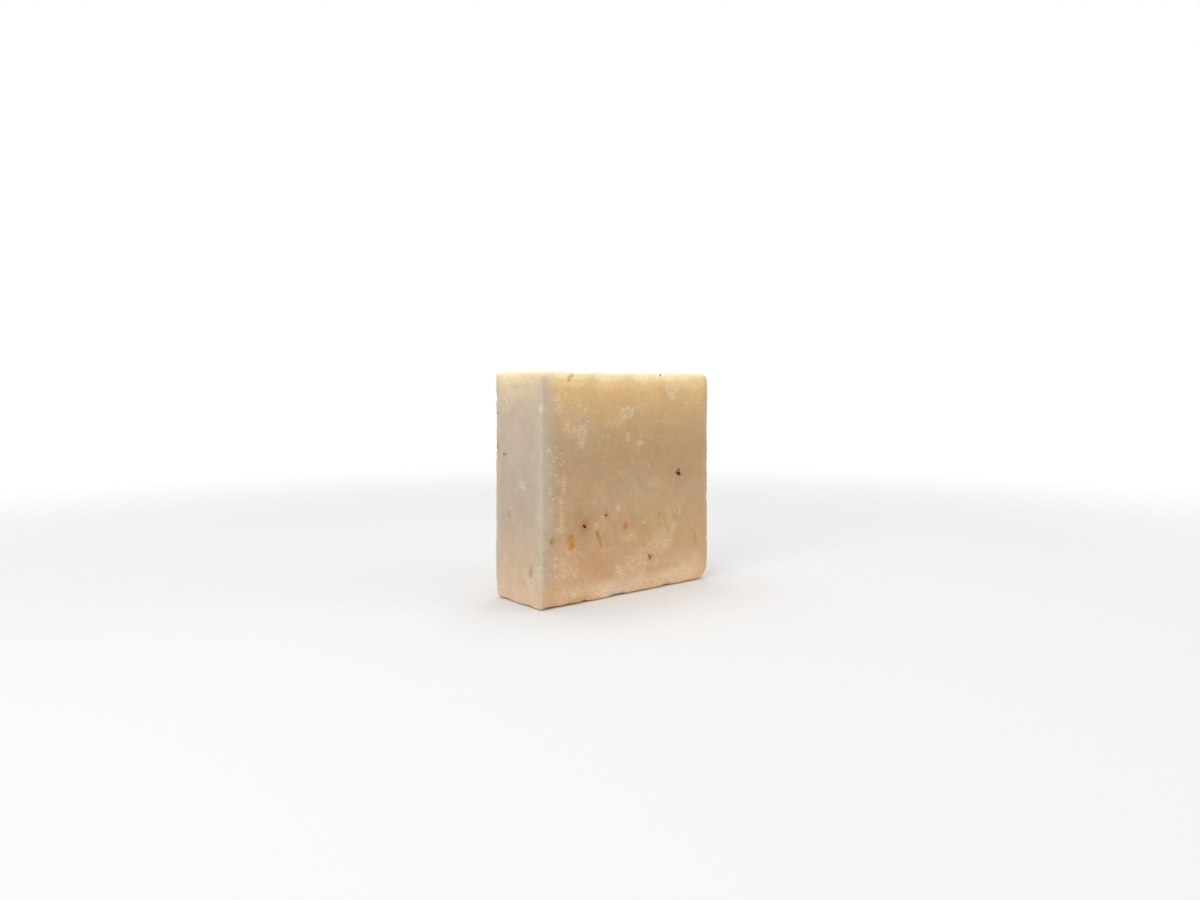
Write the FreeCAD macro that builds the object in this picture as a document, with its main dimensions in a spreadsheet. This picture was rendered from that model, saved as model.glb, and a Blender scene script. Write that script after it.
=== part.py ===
import FreeCAD, Part

import math
import os

import Sketcher

# A cut bar of handmade soap, one solid block, standing on its narrow foot.
# X runs across the wide faces, Y through the thickness and Z up. The origin
# is the middle of the foot. The two corners at the right end, high X, are
# worn rounder than the rest.

SIZES = [
    ("bar_width", 63.5, "across the wide faces, end to end"),
    ("bar_height", 63.0, "from the foot to the crest"),
    ("bar_thickness", 22.3, "between the two wide cut faces"),
    ("crest_corner_radius", 2.8, "the crest corner at the right end, worn by handling"),
    ("foot_corner_radius", 5.4, "the foot corner at the right end, knocked and worn most"),
    ("edge_radius", 0.8, "every other edge, softened by handling and curing"),
]

SHEET_NAME = "sizes"
PARTS_FOLDER = "parts"
MATCH = 1e-4  # two positions nearer than this, in mm, are the same
RIGHT_ANGLE = math.pi / 2


def make_sheet(doc):
    """The driving dimensions, one row each: name, value in mm and what it measures."""
    sheet = doc.addObject("Spreadsheet::Sheet", SHEET_NAME)
    for row, (alias, value, meaning) in enumerate(SIZES, start=1):
        sheet.set(f"A{row}", alias)
        sheet.set(f"B{row}", str(value))
        sheet.setAlias(f"B{row}", alias)
        sheet.set(f"C{row}", meaning)
    doc.recompute()
    return sheet


def origin_plane(body, role):
    """One of the body's own three origin planes."""
    return next(f for f in body.Origin.OriginFeatures if f.Role == role)


def bind(sketch, rule, kind, *arguments):
    """Adds a dimension to the sketch and ties it to the sheet by the rule."""
    index = sketch.addConstraint(Sketcher.Constraint(kind, *arguments))
    sketch.setExpression(f"Constraints[{index}]", rule)


def wide_face_sketch(body, sheet):
    """The outline of a wide face: square corners at the left end, and the two
    worn corners at the right end."""
    half = sheet.bar_width / 2
    top = sheet.bar_height
    crest = sheet.crest_corner_radius
    worn = sheet.foot_corner_radius

    sketch = body.newObject("Sketcher::SketchObject", "wide_face_outline")
    sketch.AttachmentSupport = (origin_plane(body, "XZ_Plane"), [""])
    sketch.MapMode = "FlatFace"

    def point(x, z):
        return FreeCAD.Vector(x, z, 0)

    def line(x1, z1, x2, z2):
        return sketch.addGeometry(Part.LineSegment(point(x1, z1), point(x2, z2)))

    def quarter_arc(x, z, radius, start):
        circle = Part.Circle(point(x, z), FreeCAD.Vector(0, 0, 1), radius)
        return sketch.addGeometry(Part.ArcOfCircle(circle, start, start + RIGHT_ANGLE))

    foot = line(-half, 0, half - worn, 0)
    foot_corner = quarter_arc(half - worn, worn, worn, -RIGHT_ANGLE)
    right_end = line(half, worn, half, top - crest)
    crest_corner = quarter_arc(half - crest, top - crest, crest, 0)
    crest_line = line(half - crest, top, -half, top)
    left_end = line(-half, top, -half, 0)

    start, end = 1, 2  # how a sketch constraint names the two ends of a line or arc
    origin = (-1, 1)
    for kind, *arguments in (
        ("Tangent", foot, end, foot_corner, start),
        ("Tangent", foot_corner, end, right_end, start),
        ("Tangent", right_end, end, crest_corner, start),
        ("Tangent", crest_corner, end, crest_line, start),
        ("Coincident", crest_line, end, left_end, start),
        ("Coincident", left_end, end, foot, start),
        ("Horizontal", foot),
        ("Vertical", right_end),
        ("Horizontal", crest_line),
        ("Vertical", left_end),
        ("PointOnObject", foot, start, -1),
    ):
        sketch.addConstraint(Sketcher.Constraint(kind, *arguments))

    low_left = (foot, start)
    bind(sketch, f"{SHEET_NAME}.bar_width / 2", "DistanceX", *low_left, *origin, half)
    bind(sketch, f"{SHEET_NAME}.bar_width", "DistanceX", *low_left, right_end, start, 2 * half)
    bind(sketch, f"{SHEET_NAME}.bar_height", "DistanceY", *low_left, crest_line, end, top)
    bind(sketch, f"{SHEET_NAME}.foot_corner_radius", "Radius", foot_corner, worn)
    bind(sketch, f"{SHEET_NAME}.crest_corner_radius", "Radius", crest_corner, crest)
    return sketch


def near(a, b):
    return abs(a - b) < MATCH


def edge_names(shape, wanted):
    """Names of the shape's edges whose middle point passes the test."""
    names = []
    for number, edge in enumerate(shape.Edges, start=1):
        middle = edge.valueAt((edge.FirstParameter + edge.LastParameter) / 2)
        if wanted(middle):
            names.append(f"Edge{number}")
    return names


def soap_bar(doc, sheet):
    """The whole bar: the block with its two worn corners, and its softened edges."""
    body = doc.addObject("PartDesign::Body", "soap_bar")
    body.Label = "soap_bar"

    block = body.newObject("PartDesign::Pad", "block")
    block.Profile = wide_face_sketch(body, sheet)
    block.SideType = "Symmetric"
    block.setExpression("Length", f"{SHEET_NAME}.bar_thickness")
    doc.recompute()

    left = -sheet.bar_width / 2
    half_thickness = sheet.bar_thickness / 2

    def is_sharp(middle):
        """True on the rim of a wide face and at the two ends of the left end. The
        seams where a worn corner runs smoothly into its neighbours aren't edges."""
        return near(abs(middle.y), half_thickness) or near(middle.x, left)

    softened = body.newObject("PartDesign::Fillet", "softened_edges")
    softened.Base = (block, edge_names(block.Shape, is_sharp))
    softened.setExpression("Radius", f"{SHEET_NAME}.edge_radius")
    doc.recompute()
    return body


def check(doc, bodies):
    """Stops before anything is written if a feature failed or a solid is bad."""
    for item in doc.Objects:
        bad = {"Invalid", "Error"} & set(item.State)
        if bad:
            raise RuntimeError(f"{item.Name} is {sorted(bad)}")
    for body in bodies:
        shape = body.Shape
        if shape.isNull() or not shape.isValid() or len(shape.Solids) != 1:
            raise RuntimeError(f"{body.Label} isn't one valid solid")


def main():
    doc = FreeCAD.newDocument("cut_soap_bar")
    sheet = make_sheet(doc)
    bodies = [soap_bar(doc, sheet)]
    check(doc, bodies)
    os.makedirs(PARTS_FOLDER, exist_ok=True)
    for body in bodies:
        shape = body.Shape
        shape.exportStep(os.path.join(PARTS_FOLDER, f"{body.Label}.step"))
        box = shape.optimalBoundingBox(True, False)
        print(
            f"{body.Label}: {box.XLength:.3f} x {box.YLength:.3f} x {box.ZLength:.3f} mm, "
            f"volume {shape.Volume:.1f} mm3, {len(shape.Faces)} faces"
        )


main()
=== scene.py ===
import math
import random

import bmesh
import bpy
import numpy as np
from mathutils import Matrix, Vector, noise
from mathutils.bvhtree import BVHTree
from mathutils.kdtree import KDTree


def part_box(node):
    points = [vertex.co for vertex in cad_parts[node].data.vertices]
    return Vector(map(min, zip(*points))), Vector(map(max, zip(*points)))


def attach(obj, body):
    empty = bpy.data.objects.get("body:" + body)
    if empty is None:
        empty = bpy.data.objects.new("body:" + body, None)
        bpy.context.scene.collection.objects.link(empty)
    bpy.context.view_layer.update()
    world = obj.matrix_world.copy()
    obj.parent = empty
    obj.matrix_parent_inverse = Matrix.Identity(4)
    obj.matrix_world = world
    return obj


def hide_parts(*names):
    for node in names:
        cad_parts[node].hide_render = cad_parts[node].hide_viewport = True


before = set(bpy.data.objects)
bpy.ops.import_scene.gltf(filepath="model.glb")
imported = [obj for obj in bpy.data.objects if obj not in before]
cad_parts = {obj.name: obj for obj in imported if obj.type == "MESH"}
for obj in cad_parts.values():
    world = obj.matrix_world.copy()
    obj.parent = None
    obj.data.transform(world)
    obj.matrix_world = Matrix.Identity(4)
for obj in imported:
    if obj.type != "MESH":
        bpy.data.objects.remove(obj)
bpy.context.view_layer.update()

# The soap block: one block of cured cold-process soap, wire-cut from a slab and
# dried. Handling has rounded its edges, and the crest and foot corners at the
# right end most of all.

MM = 0.001
LOW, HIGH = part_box("soap_bar")
HEIGHT = HIGH.z
EDGE_RADIUS = 0.68 * MM  # the two subdivisions round it further, to about 0.8 mm
CREST_CORNER_RADIUS = 2.4 * MM
FOOT_CORNER_CUT = 3.1 * MM  # this corner reads as a soft straight cut
CELL = 1.68 * MM  # side of the squares before the last two subdivisions
SHARP_ANGLE = math.radians(60)
SAME_PLACE = 1e-6  # in metres


def link_object(name, mesh):
    """A new object for the mesh, at the origin, in the scene."""
    piece = bpy.data.objects.new(name, mesh)
    bpy.context.scene.collection.objects.link(piece)
    return piece


def lies_at(edge, axis, place):
    """True where both ends of the edge have this place along the axis."""
    return all(math.isclose(vert.co[axis], place, abs_tol=SAME_PLACE) for vert in edge.verts)


def round_off(mesh, edges, radius, segments):
    """Rounds these edges of the mesh, in this many strips."""
    bmesh.ops.bevel(
        mesh, geom=edges, offset=radius, offset_type="OFFSET", affect="EDGES",
        segments=segments, profile=0.5, material=-1,
    )


def slice_across(mesh, axis, low, high):
    """Cuts the whole mesh by evenly spaced planes square to the axis, about a cell apart."""
    steps = round((high - low) / CELL)
    normal = Vector((0, 0, 0))
    normal[axis] = 1
    for step in range(steps + 1):
        place = Vector((0, 0, 0))
        place[axis] = low + (high - low) * step / steps
        everything = mesh.verts[:] + mesh.edges[:] + mesh.faces[:]
        bmesh.ops.bisect_plane(mesh, geom=everything, plane_co=place, plane_no=normal)


block = bmesh.new()
bmesh.ops.create_cube(block, size=1)
bmesh.ops.scale(block, vec=HIGH - LOW, verts=block.verts)
bmesh.ops.translate(block, vec=(LOW + HIGH) / 2, verts=block.verts)

for corner_height, radius, segments in ((HEIGHT, CREST_CORNER_RADIUS, 3), (0, FOOT_CORNER_CUT, 1)):
    corner = [edge for edge in block.edges if lies_at(edge, 0, HIGH.x) and lies_at(edge, 2, corner_height)]
    round_off(block, corner, radius, segments)

sharp = [edge for edge in block.edges if edge.calc_face_angle() > SHARP_ANGLE]
round_off(block, sharp, EDGE_RADIUS, 2)

for axis in range(3):
    slice_across(block, axis, LOW[axis] + EDGE_RADIUS, HIGH[axis] - EDGE_RADIUS)

block_mesh = bpy.data.meshes.new("soap_block")
block.to_mesh(block_mesh)
block.free()
rough_block = link_object("soap_block_rough", block_mesh)
finer = rough_block.modifiers.new("finer", "SUBSURF")
finer.levels = 2
finer.render_levels = 2
seen = rough_block.evaluated_get(bpy.context.evaluated_depsgraph_get())
soap_mesh = bpy.data.meshes.new_from_object(seen)
soap_mesh.name = "soap_bar_worn"
bpy.data.objects.remove(rough_block)
bpy.data.meshes.remove(block_mesh)

# The worn surface of the block: faint swells left by the wire and by drying, arrises
# rubbed and nicked unevenly, knocks, finger hollows and a small dent under each seed.

SKIN_INSET = 0.08 * MM  # leaves room on the surface for the crumbs and petals
SWELL, SWELL_SIZE = 0.07 * MM, 17 * MM
ARRIS_WEAR, ARRIS_REACH, ARRIS_WEAR_SIZE = 0.11 * MM, 1.2 * MM, 6 * MM
NICK_DEPTH, NICK_REACH, NICK_SIZE = 0.30 * MM, 0.7 * MM, 2.2 * MM
NICK_RARITY = 0.9  # the swell above which an arris is nicked
RIPPLE, RIPPLE_SIZE = 0.02 * MM, 1.8 * MM
FOOT_EDGE_REACH = 1.4 * MM
SEED_DENT = 0.12 * MM
WAVES = 26  # how many waves make up a random swell
# the nicked front edge of the foot: place along it, half length and depth
FOOT_EDGE_DIPS = (
    (-27.8, 3.2, 0.66), (-21.5, 1.8, 0.30), (-16.8, 1.5, 0.52), (-4.8, 3.0, 0.52),
    (3.5, 3.0, 0.14), (14.2, 2.2, 0.38), (22.5, 2.4, 0.20), (28.0, 2.0, 0.25),
)
# shallow hollows pressed in by fingers: place, reach and depth
FINGER_HOLLOWS = (
    ((4, -11.15, 38), 15, 0.16), ((-14, -11.15, 52), 9, 0.10), ((-8, 11.15, 30), 14, 0.18),
    ((16, 11.15, 48), 9, 0.14), ((31.75, 1, 36), 10, 0.14), ((-31.75, -1, 30), 12, 0.10),
    ((6, 0, 63), 12, 0.14), ((-20, 3, 63), 7, 0.10),
)
# knocks on edges and corners: place, reach and depth
KNOCKS = (
    ((-31.75, 11.15, 0), 2.6, 0.50), ((-31.75, 11.15, 3.5), 3.0, 0.12), ((31.75, 11.15, 61), 1.8, 0.50),
    ((-31.75, 11.15, 42), 1.8, 0.24), ((-15, -11.15, 63), 8.0, 0.32),
    ((-31.75, -11.15, 9.5), 1.2, 0.16), ((-31.75, -11.15, 53), 0.9, 0.10), ((-9, 11.15, 63), 2.4, 0.40),
    ((19, 11.15, 63), 1.4, 0.28), ((31.75, 2, 63), 2.0, 0.30), ((22, 11.15, 0), 3.2, 0.45),
    ((-14, 11.15, 0), 2.0, 0.30), ((31.75, 11.15, 30), 1.6, 0.34), ((-25, -11.15, 63), 1.6, 0.16),
    ((24, -11.15, 63), 1.8, 0.18), ((2, -11.15, 63), 2.6, 0.12), ((-31.75, -2, 63), 2.2, 0.14),
    ((-31.75, -5, 0), 2.4, 0.24), ((-31.75, 6, 0), 1.8, 0.28),
)

places = np.empty(len(soap_mesh.vertices) * 3)
soap_mesh.vertices.foreach_get("co", places)
places = places.reshape(-1, 3)
normals = np.empty(len(soap_mesh.vertices) * 3)
soap_mesh.vertex_normals.foreach_get("vector", normals)
normals = normals.reshape(-1, 3)


def swells(points, size, seed):
    """A smooth random value at each point, mostly between -1 and 1, in swells of this size."""
    dice = np.random.default_rng(seed)
    total = np.zeros(len(points))
    for _ in range(WAVES):
        heading = dice.normal(size=3)
        heading *= 2 * math.pi / (np.linalg.norm(heading) * size * dice.uniform(0.8, 2.4))
        total += np.sin(points @ heading + dice.uniform(0, 2 * math.pi))
    return total / math.sqrt(WAVES)


def fade(distance, reach):
    """1 where the distance is nought, falling smoothly to 0 at about twice the reach."""
    return np.exp(-((distance / reach) ** 2))


gaps = np.column_stack((
    HIGH.x - np.abs(places[:, 0]),
    HIGH.y - np.abs(places[:, 1]),
    np.minimum(places[:, 2], HEIGHT - places[:, 2]),
))
gap_to_arris = np.sort(gaps, axis=1)[:, 1]

rise = -SKIN_INSET - SWELL * np.clip(0.5 + 0.6 * swells(places, SWELL_SIZE, seed=3), 0, None)
wear = np.clip(swells(places, ARRIS_WEAR_SIZE, seed=11), 0, None)
rise -= ARRIS_WEAR * fade(gap_to_arris, ARRIS_REACH) * wear
nicks = np.clip(swells(places, NICK_SIZE, seed=23) - NICK_RARITY, 0, None)
rise -= NICK_DEPTH * fade(gap_to_arris, NICK_REACH) * nicks
rise = np.minimum(rise - RIPPLE * swells(places, RIPPLE_SIZE, seed=29), -SKIN_INSET)

from_foot_edge = np.hypot(places[:, 1] - LOW.y, places[:, 2])
for along, half_length, depth in FOOT_EDGE_DIPS:
    along_fade = fade(places[:, 0] - along * MM, half_length * MM)
    rise -= depth * MM * along_fade * fade(from_foot_edge, FOOT_EDGE_REACH)

for place, reach, depth in FINGER_HOLLOWS + KNOCKS:
    away = np.linalg.norm(places - np.array(place) * MM, axis=1)
    rise -= depth * MM * fade(away, reach * MM)

finder = KDTree(len(places))
for index, place in enumerate(places):
    finder.insert(place, index)
finder.balance()


def press(point, reach, depth):
    """Presses a small round hollow into the surface round the point."""
    for _, index, away in finder.find_range(point, 2.2 * reach):
        rise[index] -= depth * math.exp(-((away / reach) ** 2))


def on_soap_face(face, across, up):
    """The point of a face of the block, in mm across and up, and the way out of it."""
    across, up = across * MM, up * MM
    return {
        "front": (Vector((across, LOW.y, up)), Vector((0, -1, 0))),
        "back": (Vector((across, HIGH.y, up)), Vector((0, 1, 0))),
        "left": (Vector((LOW.x, across, up)), Vector((-1, 0, 0))),
        "right": (Vector((HIGH.x, across, up)), Vector((1, 0, 0))),
        "crest": (Vector((across, up, HEIGHT)), Vector((0, 0, 1))),
        "foot": (Vector((across, up, 0)), Vector((0, 0, -1))),
    }[face]


def each(table):
    """Every row of a table that lists its rows by face, with the face put first."""
    for face, rows in table:
        for row in rows:
            yield face, *row


# each seed and husk in the surface, by face: across, up, length, width and turn; those of
# the front and the left end are where the photograph shows them
SEEDS = (
    ("front", (
        (18.95, 33.0, 1.75, 1.05, -14), (19.05, 34.0, 0.85, 0.70, 60), (18.0, 33.4, 0.70, 0.55, 0),
        (-17.2, 20.8, 1.65, 0.82, -40), (-9.3, 23.1, 0.85, 0.60, 35), (7.3, 9.2, 0.80, 0.48, 75),
        (6.7, 10.2, 0.58, 0.38, 50), (11.5, 62.3, 0.70, 0.50, 20),
    )),
    ("left", (
        (6.9, 40.2, 0.62, 0.42, 0), (5.9, 40.2, 0.48, 0.36, 30), (10.5, 42.0, 1.25, 0.60, 88),
        (10.1, 51.5, 0.55, 0.42, 20),
    )),
    ("back", (
        (-20.5, 44.0, 1.35, 0.80, 25), (-19.5, 43.1, 0.66, 0.50, -40), (9.5, 21.0, 1.50, 0.70, -60),
        (22.0, 52.5, 0.80, 0.62, 10), (-4.0, 10.5, 0.95, 0.58, 70), (15.5, 35.5, 0.66, 0.50, 15),
    )),
    ("right", ((-4.5, 25.5, 1.20, 0.68, 55), (3.2, 48.0, 0.80, 0.60, -25), (5.5, 15.5, 0.60, 0.46, 0))),
    ("crest", ((-12.5, 3.4, 1.25, 0.70, 30), (18.0, -4.2, 0.86, 0.60, -50), (3.0, 6.0, 0.60, 0.44, 5))),
    ("foot", ((10.0, 2.0, 1.1, 0.6, 20), (-18.0, -4.0, 0.7, 0.5, 70))),
)
for face, across, up, length, width, _ in each(SEEDS):
    press(on_soap_face(face, across, up)[0], (0.45 * length + 0.25) * MM, SEED_DENT)

worn = np.clip(places + normals * rise[:, None], LOW, HIGH)
soap_mesh.vertices.foreach_set("co", worn.ravel())
soap_mesh.update()
soap_mesh.shade_smooth()
soap = link_object("soap_bar_worn", soap_mesh)
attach(soap, "root")
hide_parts("soap_bar")

# The tints in the soap: stains, bleached spots, the rust-coloured halos that the seeds
# bled and the pale powder that rubbing left. Each vertex of the block carries its own.

# soft patches of another tone, by face: across, up, half width, half height, strength, colour
PATCHES = (
    ("front", (
        (-19, 45, 11, 11, 0.55, (190, 167, 138)), (-18, 22, 8, 9, 0.75, (180, 140, 98)),
        (14, 54, 15, 8, 0.30, (206, 162, 108)), (2, 57, 16, 5, 0.35, (218, 168, 108)),
        (20, 34, 13, 12, 0.50, (182, 147, 102)), (-11, 9, 10, 6, 0.40, (198, 152, 112)),
        (21, 5, 12, 7, 0.70, (230, 196, 158)), (-3, 9, 7, 6, 0.35, (212, 172, 132)),
        (-30.5, 14, 3.4, 12, 0.70, (186, 160, 114)), (-29.5, 4, 3.4, 7, 0.7, (214, 172, 120)),
        (12, 21, 17, 12, 0.50, (194, 162, 108)), (-6, 1, 9, 4, 0.70, (232, 202, 172)),
        (-2.3, 19.0, 4, 4.5, 0.35, (202, 156, 108)), (-2.4, 19.6, 1.0, 2.9, 1.20, (182, 116, 40)),
        (-1.6, 17.0, 0.9, 1.9, 0.60, (190, 130, 60)), (-28.4, 18.0, 1.9, 1.8, 0.75, (158, 128, 74)),
        (25.9, 13.0, 1.3, 2.2, 0.65, (192, 138, 80)), (-21.0, 41.2, 1.5, 2.2, 0.38, (160, 138, 96)),
        (10.3, 40.6, 1.2, 1.8, 0.42, (156, 124, 76)), (-15.5, 46.4, 1.1, 1.4, 0.35, (160, 134, 92)),
        (-9.3, 23.0, 2.2, 2.2, 0.45, (190, 138, 88)),
    )),
    ("left", (
        (5, 50, 7, 10, 0.35, (182, 166, 142)), (4.2, 23.8, 1.6, 2.4, 0.42, (166, 146, 118)),
        (5.2, 20.0, 1.9, 2.2, 0.42, (160, 142, 114)), (-2.0, 25.2, 1.3, 2.0, 0.36, (166, 146, 116)),
        (-6.2, 9.4, 1.7, 2.4, 0.75, (162, 126, 78)), (-6, 5, 4, 4, 0.5, (222, 198, 170)),
        (-10.5, 5, 3, 9, 0.5, (210, 174, 134)), (9.5, 28, 4, 30, 0.30, (184, 166, 138)),
    )),
    ("back", (
        (-16, 22, 12, 10, 0.5, (184, 146, 104)), (14, 50, 13, 8, 0.35, (204, 160, 108)),
        (18, 14, 13, 8, 0.4, (212, 176, 136)), (-22, 50, 9, 8, 0.4, (196, 170, 138)),
        (2.0, 52.0, 2.6, 3.0, 0.55, (186, 130, 78)), (-11, 35, 1.6, 2.2, 0.45, (158, 130, 84)),
        (25.5, 33.5, 1.7, 1.7, 0.5, (160, 128, 80)),
    )),
    ("right", ((1, 18, 7, 12, 0.3, (204, 176, 142)), (-4, 42, 1.7, 2.4, 0.45, (164, 136, 98)))),
    ("crest", ((-8, 1, 14, 7, 0.35, (226, 204, 164)), (15, 2, 2.4, 1.8, 0.4, (190, 154, 104)))),
    ("foot", ((0, 0, 22, 8, 0.35, (206, 170, 134)),)),
)
# rust-coloured halos that seeds bled into the soap, by face: across, up, reach and strength
HALOS = (
    ("front", (
        (18.9, 33.2, 2.6, 0.30), (18.9, 33.1, 1.35, 0.80), (-17.0, 21.0, 3.0, 0.38),
        (-17.2, 20.8, 1.45, 0.70), (-9.5, 22.9, 1.6, 0.45), (-9.3, 23.1, 0.9, 1.00), (7.1, 9.6, 1.8, 0.70),
        (7.1, 9.6, 1.1, 0.80), (11.5, 62.3, 1.0, 0.40),
    )),
    ("left", ((6.4, 40.2, 1.3, 0.45), (10.4, 42.0, 2.8, 0.85))),
    ("back", (
        (-20.2, 43.7, 3.0, 0.65), (9.5, 21.0, 2.9, 0.70), (22.0, 52.5, 1.6, 0.5), (-4.0, 10.5, 2.0, 0.55),
        (15.5, 35.5, 1.3, 0.5),
    )),
    ("right", ((-4.5, 25.5, 2.6, 0.60), (3.2, 48.0, 1.9, 0.50))),
    ("crest", ((-12.5, 3.4, 2.4, 0.50), (18.0, -4.2, 2.0, 0.45))),
    ("foot", ((10, 2, 2.2, 0.5),)),
)
# pale powdery film that rubbing left, by face: across, up, half width, half height and strength
VEILS = (
    ("front", (
        (-18.6, 47.1, 2.4, 1.6, 0.55), (-18.3, 43.8, 1.8, 2.0, 0.36), (-23.4, 48.6, 1.8, 2.2, 0.60),
        (-26.8, 56.1, 1.8, 1.6, 0.70), (-25.8, 53.0, 2.6, 2.6, 0.50), (-22, 51, 7, 7, 0.15),
        (-2.3, 51.0, 3.4, 2.2, 0.38), (-6.4, 49.0, 2.6, 1.4, 0.25), (5.1, 53.9, 3.4, 1.2, 0.28),
        (16.2, 57.4, 2.2, 2.0, 0.60), (14.6, 58.0, 2.0, 1.4, 0.35), (17.5, 55.8, 2.0, 1.4, 0.45),
        (-1.1, 44.6, 1.1, 1.4, 0.90), (3.1, 42.7, 1.5, 1.2, 0.65), (7.0, 56, 9, 4, 0.15),
        (-24.4, 33, 1.0, 6.5, 0.15), (-25.1, 25, 1.0, 5.5, 0.18), (-28.7, 41, 0.9, 7.0, 0.25),
        (-28.7, 26, 0.9, 2.0, 0.55), (-25.5, 20.6, 1.9, 1.1, 0.75), (-24.5, 10.5, 4.6, 5.6, 0.45),
        (-4.5, 6.5, 2.0, 2.4, 0.90), (0.0, 7.6, 3.6, 3.0, 0.55), (4.3, 5.0, 2.4, 1.8, 0.60),
        (4.5, 9.5, 5.0, 3.4, 0.50), (11.1, 13.0, 4.4, 3.4, 0.65), (14.4, 13.5, 2.6, 3.0, 0.50),
        (16.5, 17.9, 1.3, 1.6, 0.90), (11.9, 15.7, 3.4, 2.4, 0.45), (-1.0, 16.6, 3.2, 1.5, 0.55),
        (-8, 2.7, 8.5, 2.9, 1.10), (-21, 3.4, 5.0, 1.2, 0.45), (3.1, 2.8, 6.5, 2.0, 0.85),
        (14, 3.4, 8.0, 2.6, 0.95), (20.5, 3.2, 7.0, 2.4, 0.90), (-3.1, 34.3, 2.4, 1.2, 0.30),
        (9.7, 30.8, 6.5, 1.6, 0.25),
    )),
    ("left", (
        (-10.9, 53.0, 0.7, 0.8, 0.8), (-6.4, 40.0, 0.7, 0.9, 0.8), (-10.2, 10.2, 3.2, 1.6, 0.70),
        (-6.6, 6.4, 1.1, 1.2, 0.85), (5.9, 10.9, 1.6, 1.0, 0.50), (-2.4, 32.4, 2.2, 1.6, 0.35),
        (3.4, 56.0, 4.0, 3.5, 0.35), (2, 44, 6, 9, 0.22),
    )),
    ("back", (
        (-14, 16, 6.5, 3.0, 0.75), (-4, 20, 6.0, 2.4, 0.60), (13, 46, 7.5, 2.0, 0.60),
        (0, 2.6, 18, 1.4, 0.80), (22, 30, 2.2, 5.5, 0.50), (-24, 56, 4.0, 2.0, 0.60),
    )),
    ("right", ((2.5, 12.5, 4.5, 4.0, 0.50), (-5, 38, 1.4, 7.0, 0.45), (3, 55, 4.0, 2.6, 0.50))),
    ("crest", ((-16, 2, 8.0, 2.2, 0.50), (12, -3, 7.0, 2.0, 0.45))),
    ("foot", ((-8, 3, 12, 3.5, 0.6),)),
)
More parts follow.
